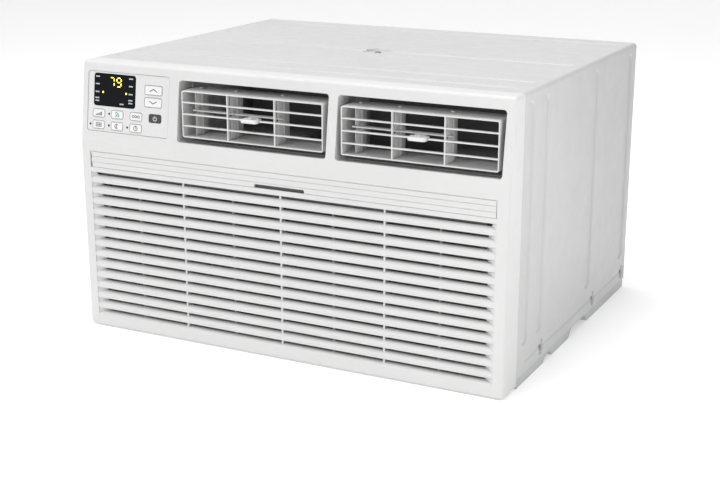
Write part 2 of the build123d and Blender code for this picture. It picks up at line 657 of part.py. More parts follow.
with BuildPart() as base_pan:
    box_at(-PAN_HALF_W, PAN_HALF_W, PAN_FRONT, PAN_BACK, 0, PAN_WALL_H)
    fillet(base_pan.edges().filter_by(Axis.Z), radius=6)
    # folded rim under the cabinet's lower edge
    box_at(-PAN_RIM_HALF_W, PAN_RIM_HALF_W, PAN_FRONT, PAN_BACK, 0, CABINET_LOW - GAP)
    box_at(
        -PAN_HALF_W + PAN_SHEET, PAN_HALF_W - PAN_SHEET, PAN_FRONT + PAN_SHEET, PAN_BACK - PAN_SHEET,
        PAN_SHEET, PAN_WALL_H + 1, Mode.SUBTRACT,
    )
    # hand grips: the floor steps up over each side cut-out
    for grip_d0, grip_d1, grip_rise in GRIPS:
        for side in (-1, 1):
            inner_x = side * (PAN_HALF_W - GRIP_REACH)
            box_at(
                min(side * PAN_HALF_W, inner_x), max(side * PAN_HALF_W, inner_x),
                grip_d0 - PAN_SHEET, grip_d1 + PAN_SHEET, 0, grip_rise + PAN_SHEET,
            )
    grip_run = WIDTH / 2 - PAN_HALF_W + GRIP_REACH - PAN_SHEET
    for grip_d0, grip_d1, grip_rise in GRIPS:
        near_side = grip_profile(grip_d0, grip_d1, grip_rise)
        far_side = near_side.moved(Location((WIDTH - grip_run, 0, 0)))
        extrude(near_side, amount=grip_run, mode=Mode.SUBTRACT)
        extrude(far_side, amount=grip_run, mode=Mode.SUBTRACT)
    # threaded holes for the cabinet screws
    for side in (-1, 1):
        for screw_d in SCREW_D:
            spot = (side * (PAN_HALF_W + 1), depth(screw_d), SCREW_Z)
            with BuildSketch(Plane(origin=spot, x_dir=(0, 1, 0), z_dir=(side, 0, 0))):
                Circle(2.0 + FIT)
            extrude(amount=-6, mode=Mode.SUBTRACT)
label_and_write(base_pan, "base_pan")

with BuildPart() as cabinet_screws:
    for side in (-1, 1):
        for screw_d in SCREW_D:
            spot = (side * (WIDTH / 2 - 2.2), depth(screw_d), SCREW_Z)
            with BuildSketch(Plane(origin=spot, x_dir=(0, 1, 0), z_dir=(side, 0, 0))):
                Circle(4.4)
            extrude(amount=2.0, taper=18)
            with BuildSketch(Plane(origin=spot, x_dir=(0, 1, 0), z_dir=(side, 0, 0))):
                Circle(2.0)
            extrude(amount=-10)
    spot = (TOP_SCREW[0], depth(TOP_SCREW[1]), HEIGHT - BEAD_DEEP - 0.8)
    with BuildSketch(Plane(origin=spot, z_dir=(0, 0, 1))):
        Circle(4.4)
    extrude(amount=2.0, taper=18)
    with BuildSketch(Plane(origin=spot, z_dir=(0, 0, 1))):
        Circle(2.0)
    extrude(amount=-9)
label_and_write(cabinet_screws, "cabinet_screws")

GLAND_X, GLAND_Z, GLAND_R = -262.0, 62.0, 11.0
GUARD_D = (489.0, 498.0)
GUARD_LOW = 41.0
with BuildPart() as rear_guard:
    guard_w = 2 * (WIDTH / 2 - SHEET - GAP)
    guard_z = (GUARD_LOW, HEIGHT - SHEET - GAP)
    guard_h = guard_z[1] - guard_z[0]
    guard_plane = Plane.XZ.offset(-depth(GUARD_D[1]))
    guard_mid = (0, sum(guard_z) / 2)
    with BuildSketch(guard_plane):
        with Locations(guard_mid):
            RectangleRounded(guard_w, guard_h, 3.5)
            RectangleRounded(guard_w - 36, guard_h - 36, 6, mode=Mode.SUBTRACT)
    extrude(amount=1.5)
    with BuildSketch(guard_plane):
        with Locations(guard_mid):
            RectangleRounded(guard_w, guard_h, 3.5)
            RectangleRounded(guard_w - 3, guard_h - 3, 2, mode=Mode.SUBTRACT)
    extrude(amount=GUARD_D[1] - GUARD_D[0])
    # wires: level ones behind, upright ones across them
    with BuildSketch(guard_plane.offset(1.0)):
        with Locations(guard_mid):
            with GridLocations(1, 21.0, 1, 14):
                Rectangle(guard_w - 30, 2.4)
    extrude(amount=2.4)
    with BuildSketch(guard_plane.offset(-0.6)):
        with Locations(guard_mid):
            with GridLocations(94.0, 1, 6, 1):
                Rectangle(2.4, guard_h - 30)
    extrude(amount=2.4)
    # solid corner plate that holds the cable gland
    with BuildSketch(guard_plane):
        with Locations((-guard_w / 2 + 32, guard_z[0] + 32)):
            RectangleRounded(62, 62, 3)
    extrude(amount=2.0)
    rod_y(GLAND_X, GLAND_Z, GLAND_R + FIT, GUARD_D[0] - 2, GUARD_D[1] + 4, Mode.SUBTRACT)
label_and_write(rear_guard, "rear_guard")

with BuildPart() as cable_gland:
    rod_y(GLAND_X, GLAND_Z, GLAND_R, 491.0, 499.6)
    rod_y(GLAND_X, GLAND_Z, GLAND_R + 2.5, 498.2, 499.9)
    rod_y(GLAND_X, GLAND_Z, GLAND_R + 2.0, 491.0, 494.4)
    rod_y(GLAND_X, GLAND_Z, 4.6, 490.0, 501.0, Mode.SUBTRACT)
label_and_write(cable_gland, "cable_gland")


# ---------------------------------------------------------------- air path
BULKHEAD_D = (192.0, 193.2)
SCROLL_D = (114.0, 190.0)
SCROLL_R = 104.0
SCROLL_WALL = 2.0
WHEEL_R = 88.0
DUCT_X = (MOUTH_X["left"] - MOUTH_W / 2, MOUTH_X["right"] + MOUTH_W / 2)
DUCT_Z = (268.0, 357.0)
DUCT_D = (30.0, 190.0)
DUCT_WALL = 2.0

with BuildPart() as outlet_duct:
    box_at(*DUCT_X, *DUCT_D, *DUCT_Z)
    box_at(
        DUCT_X[0] + DUCT_WALL, DUCT_X[1] - DUCT_WALL, DUCT_D[0] - 1, DUCT_D[1] - DUCT_WALL,
        DUCT_Z[0] + DUCT_WALL, DUCT_Z[1] - DUCT_WALL, Mode.SUBTRACT,
    )
    # mouth of the scroll in the floor
    box_at(
        SHAFT_X - SCROLL_R + 2, SHAFT_X + SCROLL_R - 2, SCROLL_D[0] + 2, SCROLL_D[1] - 3,
        DUCT_Z[0] - 1, DUCT_Z[0] + 3, Mode.SUBTRACT,
    )
    divider = (MOUTH_X["left"] + MOUTH_X["right"]) / 2
    box_at(divider - 1, divider + 1, DUCT_D[0], 110, DUCT_Z[0] + 1, DUCT_Z[1] - 1)
    # the front leans with the face and stops behind the mouth collars
    with BuildSketch(face_plane(0, MOUTH_V, -COLLAR_DEPTH - GAP)):
        Rectangle(2 * WIDTH, 2 * HEIGHT)
    extrude(amount=60, mode=Mode.SUBTRACT)
label_and_write(outlet_duct, "outlet_duct")

with BuildPart() as blower_housing:
    for shrink, mode in ((0.0, Mode.ADD), (SCROLL_WALL, Mode.SUBTRACT)):
        with BuildSketch(Plane.XZ.offset(-depth(SCROLL_D[1] - shrink))):
            with Locations((SHAFT_X, SHAFT_Z)):
                Circle(SCROLL_R - shrink)
            with Locations((SHAFT_X, (SHAFT_Z + DUCT_Z[0]) / 2 + shrink)):
                Rectangle(2 * (SCROLL_R - shrink), DUCT_Z[0] - SHAFT_Z)
        extrude(amount=SCROLL_D[1] - SCROLL_D[0] - 2 * shrink, mode=mode)
    rod_y(SHAFT_X, SHAFT_Z, WHEEL_R - 14, SCROLL_D[0] - 1, SCROLL_D[0] + 3, Mode.SUBTRACT)
    rod_y(SHAFT_X, SHAFT_Z, 14, SCROLL_D[1] - 4, SCROLL_D[1] + 1, Mode.SUBTRACT)
label_and_write(blower_housing, "blower_housing")

with BuildPart() as bulkhead:
    box_at(-PAN_HALF_W + 2, PAN_HALF_W - 2, *BULKHEAD_D, PAN_SHEET + 0.3, DUCT_Z[1])
    rod_y(SHAFT_X, SHAFT_Z, 20, BULKHEAD_D[0] - 1, BULKHEAD_D[1] + 1, Mode.SUBTRACT)
    # line-set opening
    with BuildSketch(Plane.XZ.offset(-depth(BULKHEAD_D[1] + 1))):
        with Locations((-270, 200)):
            RectangleRounded(44, 120, 4)
    extrude(amount=4, mode=Mode.SUBTRACT)
label_and_write(bulkhead, "bulkhead")


# ---------------------------------------------------------------- heat exchangers
TUBE_R = 4.0
EVAPORATOR_HALF_W, EVAPORATOR_D, EVAPORATOR_Z, EVAPORATOR_ROWS = 268.0, (76.0, 108.0), (34.0, 250.0), 9
CONDENSER_HALF_W, CONDENSER_D, CONDENSER_Z, CONDENSER_ROWS = 272.0, (434.0, 472.0), (12.0, 344.0), 13


def make_coil(prefix, half_w, d0, d1, z0, z1, rows):
    """Finned block between two end plates, with return bends outside the plates."""
    plate = 1.5
    pitch = (z1 - z0) / rows
    mid_d = (d0 + d1) / 2
    with BuildPart() as core:
        box_at(-half_w, half_w, d0, d1, z0, z1)
    label_and_write(core, prefix + "_core")
    with BuildPart() as plates:
        for side in (-1, 1):
            face = side * (half_w + 0.3)
            box_at(min(face, face + side * plate), max(face, face + side * plate), d0 - 3, d1 + 3, z0, z1)
        for row in range(rows):
            with BuildSketch(Plane.YZ.offset(-half_w - 5)) as holes:
                with Locations((depth(mid_d), z0 + (row + 0.5) * pitch)):
                    Circle(TUBE_R + FIT)
            extrude(holes.sketch, amount=2 * half_w + 10, mode=Mode.SUBTRACT)
    label_and_write(plates, prefix + "_plates")
    with BuildPart() as bends:
        for side in (-1, 1):
            shift = 1 if side > 0 else 0
            for row in range(shift, rows - 1, 2):
                low_z = z0 + (row + 0.5) * pitch
                start = side * (half_w + 0.1)
                knee = side * (half_w + 4.0)
                with BuildLine(Plane.XZ.offset(-depth(mid_d))) as path:
                    Line((start, low_z), (knee, low_z))
                    ThreePointArc((knee, low_z), (knee + side * pitch / 2, low_z + pitch / 2), (knee, low_z + pitch))
                    Line((knee, low_z + pitch), (start, low_z + pitch))
                with BuildSketch(Plane(origin=path.line @ 0, z_dir=path.line % 0)) as ring:
                    Circle(TUBE_R)
                sweep(ring.sketch, path=path.line)
    label_and_write(bends, prefix + "_bends")


make_coil("evaporator", EVAPORATOR_HALF_W, *EVAPORATOR_D, *EVAPORATOR_Z, EVAPORATOR_ROWS)
make_coil("condenser", CONDENSER_HALF_W, *CONDENSER_D, *CONDENSER_Z, CONDENSER_ROWS)

with BuildPart() as drain_tray:
    box_at(-286, 286, 68, 112, PAN_SHEET + 0.3, 33.5)
    box_at(-284, 284, 70, 110, 6, 40, Mode.SUBTRACT)
    for post_x in (-200, -70, 70, 200):
        box_at(post_x - 4, post_x + 4, 78, 106, 5, 33.7)
label_and_write(drain_tray, "drain_tray")


# ---------------------------------------------------------------- fan line
MOTOR_D = (206.0, 286.0)
MOTOR_R = 58.0
FAN_D = 372.0
FAN_RING_R = 139.0
FAN_R = FAN_RING_R - 1.5

with BuildPart() as motor_shaft:
    rod_y(SHAFT_X, SHAFT_Z, SHAFT_R, 128.0, 392.0)
label_and_write(motor_shaft, "motor_shaft")

with BuildPart() as fan_motor:
    rod_y(SHAFT_X, SHAFT_Z, MOTOR_R, *MOTOR_D)
    fillet(fan_motor.edges().filter_by(GeomType.CIRCLE), radius=9)
    rod_y(SHAFT_X, SHAFT_Z, 18, MOTOR_D[0] - 6, MOTOR_D[1] + 6)
    rod_y(SHAFT_X, SHAFT_Z, SHAFT_R + FIT, MOTOR_D[0] - 10, MOTOR_D[1] + 10, Mode.SUBTRACT)
label_and_write(fan_motor, "fan_motor")

with BuildPart() as motor_bracket:
    bracket_d = MOTOR_D[1] + 0.4
    with BuildSketch(Plane.XZ.offset(-depth(bracket_d + 3))):
        with BuildLine():
            Polyline(
                (SHAFT_X - 90, PAN_SHEET + 0.3), (SHAFT_X + 90, PAN_SHEET + 0.3),
                (SHAFT_X + 50, SHAFT_Z + 50), (SHAFT_X - 50, SHAFT_Z + 50), close=True,
            )
        make_face()
        with Locations((SHAFT_X, SHAFT_Z)):
            Circle(24, mode=Mode.SUBTRACT)
        with Locations((SHAFT_X, 60)):
            RectangleRounded(70, 50, 8, mode=Mode.SUBTRACT)
    extrude(amount=3)
    box_at(SHAFT_X - 90, SHAFT_X + 90, bracket_d, bracket_d + 34, PAN_SHEET + 0.3, PAN_SHEET + 3.3)
label_and_write(motor_bracket, "motor_bracket")

with BuildPart() as blower_wheel:
    wheel_d = (SCROLL_D[0] + 6.0, SCROLL_D[1] - 8.0)
    rod_y(SHAFT_X, SHAFT_Z, WHEEL_R, wheel_d[1] - 2, wheel_d[1])
    rod_y(SHAFT_X, SHAFT_Z, WHEEL_R, wheel_d[0], wheel_d[0] + 3)
    rod_y(SHAFT_X, SHAFT_Z, WHEEL_R - 13, wheel_d[0] - 1, wheel_d[0] + 4, Mode.SUBTRACT)
    with BuildSketch(Plane.XZ.offset(-depth(wheel_d[1] - 1))):
        with Locations((SHAFT_X, SHAFT_Z)):
            with PolarLocations(WHEEL_R - 7, 36):
                Rectangle(12, 1.4, rotation=35)
    extrude(amount=wheel_d[1] - wheel_d[0] - 2)
    rod_y(SHAFT_X, SHAFT_Z, 13, wheel_d[1] - 34, wheel_d[1] - 1)
    rod_y(SHAFT_X, SHAFT_Z, SHAFT_R, wheel_d[0] - 4, wheel_d[1] + 4, Mode.SUBTRACT)
label_and_write(blower_wheel, "blower_wheel")

with BuildPart() as condenser_fan:
    rod_y(SHAFT_X, SHAFT_Z, 34, FAN_D - 16, FAN_D + 16)
    fillet(condenser_fan.edges().filter_by(GeomType.CIRCLE).sort_by(Axis.Y)[-1], radius=6)
    for blade in range(5):
        angle = radians(72 * blade)
        radial = Vector(cos(angle), 0, sin(angle))
        root = Vector(SHAFT_X, depth(FAN_D), SHAFT_Z) + radial * 31
        across = radial.cross(Vector(0, 1, 0))
        with BuildSketch(Plane(origin=root, x_dir=across, z_dir=radial)):
            SlotOverall(60, 2.4, rotation=28)
        extrude(amount=FAN_R - 31)
    # slinger ring, which dips into the condensate
    with BuildSketch(Plane.XZ.offset(-depth(FAN_D + 8))):
        with Locations((SHAFT_X, SHAFT_Z)):
            Circle(FAN_RING_R)
            Circle(FAN_RING_R - 2.5, mode=Mode.SUBTRACT)
    extrude(amount=12)
    rod_y(SHAFT_X, SHAFT_Z, SHAFT_R, FAN_D - 20, FAN_D + 20, Mode.SUBTRACT)
label_and_write(condenser_fan, "condenser_fan")

SHROUD_D = (398.0, 430.0)
with BuildPart() as condenser_shroud:
    shroud_x = (-272.0, 288.0)
    shroud_z = (PAN_SHEET + 0.3, 352.0)
    box_at(*shroud_x, *SHROUD_D, *shroud_z)
    box_at(
        shroud_x[0] + 2, shroud_x[1] - 2, SHROUD_D[0] + 2, SHROUD_D[1] + 1,
        shroud_z[0] + 2, shroud_z[1] - 2, Mode.SUBTRACT,
    )
    rod_y(SHAFT_X, SHAFT_Z, FAN_RING_R + 6, 352.0, SHROUD_D[0] + 2)
    rod_y(SHAFT_X, SHAFT_Z, FAN_RING_R + 4, 350.0, SHROUD_D[0] + 4, Mode.SUBTRACT)
label_and_write(condenser_shroud, "condenser_shroud")


# ---------------------------------------------------------------- refrigeration
COMP_X, COMP_D, COMP_R = -198.0, 300.0, 66.0
FOOT_R = 78.0
with BuildPart() as compressor:
    with BuildSketch(Plane.XY.offset(18)):
        with Locations((COMP_X, depth(COMP_D))):
            Circle(COMP_R)
    extrude(amount=196)
    fillet(compressor.edges().filter_by(GeomType.CIRCLE), radius=22)
    # weld band and mounting plate
    with BuildSketch(Plane.XY.offset(150)):
        with Locations((COMP_X, depth(COMP_D))):
            Circle(COMP_R + 2)
    extrude(amount=6)
    with BuildSketch(Plane.XY.offset(15)):
        with Locations((COMP_X, depth(COMP_D))):
            Circle(56)
            with PolarLocations(FOOT_R, 3, start_angle=30):
                Circle(16)
            with PolarLocations(FOOT_R / 2, 3, start_angle=30):
                Rectangle(FOOT_R, 32)
        with Locations((COMP_X, depth(COMP_D))):
            with PolarLocations(FOOT_R, 3, start_angle=30):
                Circle(8, mode=Mode.SUBTRACT)
    extrude(amount=4)
label_and_write(compressor, "compressor")

FEET = [
    (COMP_X + FOOT_R * cos(radians(a)), depth(COMP_D) + FOOT_R * sin(radians(a))) for a in (30, 150, 270)
]
with BuildPart() as compressor_grommets:
    for foot in FEET:
        for low, high, radius in ((PAN_SHEET + 0.3, 14.8, 14.0), (14.8, 19.2, 7.8), (19.2, 25.0, 13.0)):
            with BuildSketch(Plane.XY.offset(low)):
                with Locations(foot):
                    Circle(radius)
                    Circle(4.3, mode=Mode.SUBTRACT)
            extrude(amount=high - low)
label_and_write(compressor_grommets, "compressor_grommets")

with BuildPart() as compressor_studs:
    for foot in FEET:
        with BuildSketch(Plane.XY.offset(PAN_SHEET + 0.1)):
            with Locations(foot):
                Circle(4.0)
        extrude(amount=33)
        with BuildSketch(Plane.XY.offset(25.2)):
            with Locations(foot):
                RegularPolygon(7.5, 6)
        extrude(amount=6.5)
label_and_write(compressor_studs, "compressor_studs")

with BuildPart() as terminal_cover:
    with BuildSketch(Plane.XY.offset(214.4)):
        with Locations((COMP_X, depth(COMP_D))):
            Circle(30)
    extrude(amount=26)
    fillet(terminal_cover.faces().sort_by(Axis.Z)[-1].edges(), radius=6)
label_and_write(terminal_cover, "terminal_cover")

ACC_X, ACC_D = -268.0, 220.0
with BuildPart() as accumulator:
    with BuildSketch(Plane.XY.offset(50)):
        with Locations((ACC_X, depth(ACC_D))):
            Circle(23)
    extrude(amount=150)
    fillet(accumulator.edges().filter_by(GeomType.CIRCLE), radius=14)
label_and_write(accumulator, "accumulator")


def make_pipe(name, points, bend, radius):
    with BuildPart() as pipe:
        with BuildLine() as route:
            FilletPolyline(*points, radius=bend)
        with BuildSketch(Plane(origin=route.line @ 0, z_dir=route.line % 0)):
            Circle(radius)
        sweep()
    label_and_write(pipe, name)


EVAPORATOR_TOP_ROW = EVAPORATOR_Z[1] - (EVAPORATOR_Z[1] - EVAPORATOR_Z[0]) / EVAPORATOR_ROWS / 2
CONDENSER_TOP_ROW = CONDENSER_Z[1] - (CONDENSER_Z[1] - CONDENSER_Z[0]) / CONDENSER_ROWS / 2
make_pipe(
    "suction_line",
    [
        (ACC_X, depth(ACC_D), 200.4),
        (ACC_X, depth(ACC_D), EVAPORATOR_TOP_ROW),
        (ACC_X - 18, depth(ACC_D), EVAPORATOR_TOP_ROW),
        (ACC_X - 18, depth(sum(EVAPORATOR_D) / 2), EVAPORATOR_TOP_ROW),
        (-EVAPORATOR_HALF_W - 0.1, depth(sum(EVAPORATOR_D) / 2), EVAPORATOR_TOP_ROW),
    ],
    8,
    TUBE_R,
)
make_pipe(
    "discharge_line",
    [
        (COMP_X + 36, depth(COMP_D), 214.4),
        (COMP_X + 36, depth(COMP_D), CONDENSER_TOP_ROW),
        (-290.0, depth(COMP_D), CONDENSER_TOP_ROW),
        (-290.0, depth(sum(CONDENSER_D) / 2), CONDENSER_TOP_ROW),
        (-CONDENSER_HALF_W - 0.1, depth(sum(CONDENSER_D) / 2), CONDENSER_TOP_ROW),
    ],
    11,
    TUBE_R,
)
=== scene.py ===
import json
import math

import bmesh
import bpy
from mathutils import Matrix, Vector


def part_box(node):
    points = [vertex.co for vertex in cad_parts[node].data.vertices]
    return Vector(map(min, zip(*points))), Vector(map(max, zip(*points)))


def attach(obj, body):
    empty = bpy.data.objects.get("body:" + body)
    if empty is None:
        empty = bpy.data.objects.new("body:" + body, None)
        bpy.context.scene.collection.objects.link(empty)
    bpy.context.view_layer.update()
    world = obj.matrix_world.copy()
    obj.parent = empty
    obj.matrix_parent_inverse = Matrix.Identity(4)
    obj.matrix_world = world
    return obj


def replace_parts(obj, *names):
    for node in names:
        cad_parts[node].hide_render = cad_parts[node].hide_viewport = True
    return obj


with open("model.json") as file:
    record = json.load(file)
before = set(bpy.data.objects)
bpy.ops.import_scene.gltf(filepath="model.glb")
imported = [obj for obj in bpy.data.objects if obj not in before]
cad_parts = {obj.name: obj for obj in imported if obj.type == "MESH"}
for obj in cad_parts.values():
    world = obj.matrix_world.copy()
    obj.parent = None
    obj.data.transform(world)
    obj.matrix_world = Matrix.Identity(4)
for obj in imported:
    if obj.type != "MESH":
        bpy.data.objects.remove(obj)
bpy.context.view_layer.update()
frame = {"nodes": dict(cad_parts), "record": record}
MM = 0.001
NODES = frame["nodes"]
RECORD = frame["record"]
JOINTS = {joint["name"]: joint for joint in RECORD["behaviour"]["joints"]}

# ---------------------------------------------------------------- axes of the leaning face and the filter
X_AXIS = Vector((1, 0, 0))
FACE_OUT = -Vector(JOINTS["button_up_press"]["axis"]).normalized()
FACE_UP = FACE_OUT.cross(X_AXIS).normalized()
SLIDE_UP = Vector(JOINTS["filter_slide"]["axis"]).normalized()
SLIDE_OUT = X_AXIS.cross(SLIDE_UP).normalized()
FACE = (X_AXIS, FACE_UP, FACE_OUT)
FILTER = (X_AXIS, SLIDE_UP, SLIDE_OUT)


def place(axes, x, v, w):
    """A point from its three coordinates along the given axes."""
    return axes[0] * x + axes[1] * v + axes[2] * w


def local_box(node, axes):
    """Lowest and highest coordinate of a CAD node along each of three axes."""
    points = [vertex.co for vertex in NODES[node].data.vertices]
    spans = [[point.dot(axis) for point in points] for axis in axes]
    return [min(span) for span in spans], [max(span) for span in spans]


# ---------------------------------------------------------------- materials
WORN_SHARE = 0.82  # brightness of the worn patches of a plastic or a paint
PAINTED_SHADE_SHARE = 0.45  # brightness of the shade painted into its corners and creases
DRIFT_GAIN = 8.0
ROUGH_SPREAD = 0.06


def new_material(name):
    material = bpy.data.materials.new(name)
    material.use_nodes = True
    tree = material.node_tree
    shader = tree.nodes["Principled BSDF"]
    coords = tree.nodes.new("ShaderNodeTexCoord").outputs["Object"]
    return material, tree, shader, coords


def add_noise(tree, coords, scale, detail=3.0, roughness=0.5):
    noise = tree.nodes.new("ShaderNodeTexNoise")
    noise.inputs["Scale"].default_value = scale
    noise.inputs["Detail"].default_value = detail
    noise.inputs["Roughness"].default_value = roughness
    tree.links.new(coords, noise.inputs["Vector"])
    return noise.outputs["Fac"]


def remap(tree, value, low, high, from_low=0.0, from_high=1.0):
    node = tree.nodes.new("ShaderNodeMapRange")
    node.inputs["From Min"].default_value = from_low
    node.inputs["From Max"].default_value = from_high
    node.inputs["To Min"].default_value = low
    node.inputs["To Max"].default_value = high
    tree.links.new(value, node.inputs["Value"])
    return node.outputs["Result"]


def mix_colours(tree, factor, first, second):
    node = tree.nodes.new("ShaderNodeMix")
    node.data_type = "RGBA"
    tree.links.new(factor, node.inputs["Factor"])
    for socket, value in ((node.inputs["A"], first), (node.inputs["B"], second)):
        if isinstance(value, tuple):
            socket.default_value = (*value, 1.0)
        else:
            tree.links.new(value, socket)
    return node.outputs["Result"]


def darker(colour, share):
    return tuple(channel * share for channel in colour)


def surface(name, colour, roughness, metallic=0.0, grain=900.0, grain_depth=0.02, tone=0.04,
            mottle=9.0, edge=0.4, coat=0.0, cavity=0.0, reach=9.0, gloss=0.5):
    """Moulded plastic or painted sheet: slow tone drift, fine grain, softened edges, painted shade in
    corners and creases.

    Grain depth, edge radius and the reach of the painted corner shade are in millimetres.
    """
    material, tree, shader, coords = new_material(name)
    drift = remap(tree, add_noise(tree, coords, mottle), 0.0, tone * DRIFT_GAIN, 0.4, 0.75)
    tint = mix_colours(tree, drift, colour, darker(colour, WORN_SHARE))
    # painted shade: ambient occlusion darkens the colour in corners, creases and grooves
    if cavity:
        occlusion = tree.nodes.new("ShaderNodeAmbientOcclusion")
        occlusion.samples = 4
        occlusion.inputs["Distance"].default_value = reach * MM
        painted_shade = remap(tree, occlusion.outputs["AO"], cavity, 0.0, 0.15, 0.9)
        tint = mix_colours(tree, painted_shade, tint, darker(colour, PAINTED_SHADE_SHARE))
    tree.links.new(tint, shader.inputs["Base Color"])
    patchy = add_noise(tree, coords, mottle * 6, 4.0)
    rough = remap(tree, patchy, roughness - ROUGH_SPREAD, roughness + ROUGH_SPREAD, 0.3, 0.7)
    tree.links.new(rough, shader.inputs["Roughness"])
    shader.inputs["Metallic"].default_value = metallic
    shader.inputs["Coat Weight"].default_value = coat
    shader.inputs["Specular IOR Level"].default_value = gloss
    bump = tree.nodes.new("ShaderNodeBump")
    bump.inputs["Strength"].default_value = 0.35
    bump.inputs["Distance"].default_value = grain_depth * MM
    tree.links.new(add_noise(tree, coords, grain, 2.0), bump.inputs["Height"])
    if edge:
        bevel = tree.nodes.new("ShaderNodeBevel")
        bevel.samples = 4
        bevel.inputs["Radius"].default_value = edge * MM
        tree.links.new(bevel.outputs["Normal"], bump.inputs["Normal"])
    tree.links.new(bump.outputs["Normal"], shader.inputs["Normal"])
    return material


def brushed(name, colour, roughness, direction, metallic=1.0):
    """Drawn or ground metal with fine lines across the given axis."""
    material, tree, shader, coords = new_material(name)
    stretch = tree.nodes.new("ShaderNodeMapping")
    stretch.inputs["Scale"].default_value = direction
    tree.links.new(coords, stretch.inputs["Vector"])
    lines = add_noise(tree, stretch.outputs["Vector"], 60.0, 4.0)
    tree.links.new(mix_colours(tree, lines, colour, darker(colour, 0.7)), shader.inputs["Base Color"])
    rough = remap(tree, lines, roughness - 0.1, roughness + 0.15, 0.3, 0.7)
    tree.links.new(rough, shader.inputs["Roughness"])
    shader.inputs["Metallic"].default_value = metallic
    bump = tree.nodes.new("ShaderNodeBump")
    bump.inputs["Strength"].default_value = 0.3
    bump.inputs["Distance"].default_value = 0.02 * MM
    tree.links.new(lines, bump.inputs["Height"])
    tree.links.new(bump.outputs["Normal"], shader.inputs["Normal"])
    return material


def glow(name, colour, strength):
    """Lit display segment, a little uneven across its width."""
    material, tree, shader, coords = new_material(name)
    shade = mix_colours(tree, add_noise(tree, coords, 700.0), colour, darker(colour, 0.75))
    tree.links.new(shade, shader.inputs["Base Color"])
    tree.links.new(shade, shader.inputs["Emission Color"])
    shader.inputs["Emission Strength"].default_value = strength
    shader.inputs["Roughness"].default_value = 0.5
    return material


def duct_material(name, near, far, start, end):
    """Duct moulding whose colour is painted darker with its depth behind the mouths, as painted shade."""
    material, tree, shader, coords = new_material(name)
    split = tree.nodes.new("ShaderNodeSeparateXYZ")
    tree.links.new(coords, split.inputs["Vector"])
    painted_depth_shade = remap(tree, split.outputs["Y"], 0.0, 1.0, start, end)
    speckle = mix_colours(tree, add_noise(tree, coords, 60.0), near, darker(near, 0.8))
    tree.links.new(mix_colours(tree, painted_depth_shade, speckle, far), shader.inputs["Base Color"])
    tree.links.new(remap(tree, add_noise(tree, coords, 45.0), 0.5, 0.7), shader.inputs["Roughness"])
    bump = tree.nodes.new("ShaderNodeBump")
    bump.inputs["Strength"].default_value = 0.3
    bump.inputs["Distance"].default_value = 0.05 * MM
    tree.links.new(add_noise(tree, coords, 500.0), bump.inputs["Height"])
    tree.links.new(bump.outputs["Normal"], shader.inputs["Normal"])
    return material


WHITE = (0.66, 0.66, 0.657)
DUCT_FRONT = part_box("outlet_duct")[0][1]
# cavity sets how strongly shade is painted into each finish's corners and grooves
MATERIALS = {
    "bezel_plastic": surface("bezel_moulding", WHITE, 0.42, cavity=0.2, edge=0.6, tone=0.02),
    "knob_plastic": surface("knob_moulding", (0.72, 0.72, 0.72), 0.3, edge=0.4, coat=0.3),
    "key_plastic": surface("key_moulding", (0.78, 0.78, 0.775), 0.38, edge=0.25, tone=0.02, cavity=0.3),
    "power_key_plastic": surface("power_key_moulding", (0.05, 0.05, 0.055), 0.3, edge=0.25),
    "display_plastic": surface("display_lens", (0.006, 0.006, 0.008), 0.16, edge=0.2, grain_depth=0.002,
                               gloss=0.12),
    "lens_plastic": surface("lamp_lens", (0.012, 0.012, 0.014), 0.18, edge=0.2, gloss=0.3),
    # painted shade: the cabinet's white is set darker than the bezel's so that its sides read shaded
    "cabinet_paint": surface("cabinet_powder_coat", (0.54, 0.54, 0.54), 0.36, grain=650.0, grain_depth=0.05,
                             edge=0.3, tone=0.03, cavity=1.0, reach=3.5),
    "pan_steel": surface("galvanised_sheet", (0.5, 0.505, 0.51), 0.42, metallic=0.35, mottle=60.0, tone=0.09,
                         edge=0.3),
    # painted shade: the duct goes from pale grey at the mouths to near black deeper inside
    "duct_plastic": duct_material("duct_moulding", (0.66, 0.66, 0.67), (0.03, 0.03, 0.031),
                                  DUCT_FRONT + 0.07, DUCT_FRONT + 0.18),
    "fan_plastic": surface("fan_moulding", (0.03, 0.03, 0.03), 0.5, edge=0.3),
    "filter_plastic": surface("filter_moulding", (0.07, 0.07, 0.075), 0.5, edge=0.3),
    "filter_net": surface("filter_net_yarn", (0.12, 0.12, 0.13), 0.6, edge=0.0),
    "fin_aluminium": brushed("fin_sheet", (0.68, 0.69, 0.7), 0.32, (4, 4, 60)),
    "copper": brushed("copper_tube", (0.72, 0.36, 0.2), 0.3, (40, 4, 4)),
    "compressor_paint": surface("compressor_enamel", (0.015, 0.015, 0.017), 0.25, coat=0.4, edge=0.4),
    "rubber": surface("rubber_moulding", (0.02, 0.02, 0.02), 0.7, edge=0.3),
    "zinc": brushed("zinc_plate", (0.4, 0.4, 0.41), 0.26, (20, 20, 20)),
    "motor_steel": brushed("motor_shell", (0.3, 0.31, 0.32), 0.42, (6, 60, 6)),
    "shaft_steel": brushed("ground_shaft", (0.55, 0.55, 0.56), 0.25, (60, 4, 60)),
    "board_laminate": surface("board_resist", (0.03, 0.16, 0.06), 0.35, edge=0.1, tone=0.1),
    "capacitor_can": brushed("drawn_can", (0.66, 0.66, 0.67), 0.3, (60, 4, 4)),
    "cover_plastic": surface("terminal_moulding", (0.03, 0.03, 0.03), 0.5, edge=0.3),
    "guard_paint": surface("guard_powder_coat", (0.7, 0.7, 0.69), 0.42, edge=0.4, cavity=0.3),
}
PANEL_OVERLAY = surface("panel_overlay", (0.67, 0.67, 0.67), 0.35, edge=0.3, tone=0.02, cavity=0.4)
for entry in RECORD["subparts"]:
    finish = PANEL_OVERLAY if entry["node"] == "control_panel" else MATERIALS[entry["material_slot"]]
    for holder in NODES[entry["node"]].material_slots:
        holder.material = finish


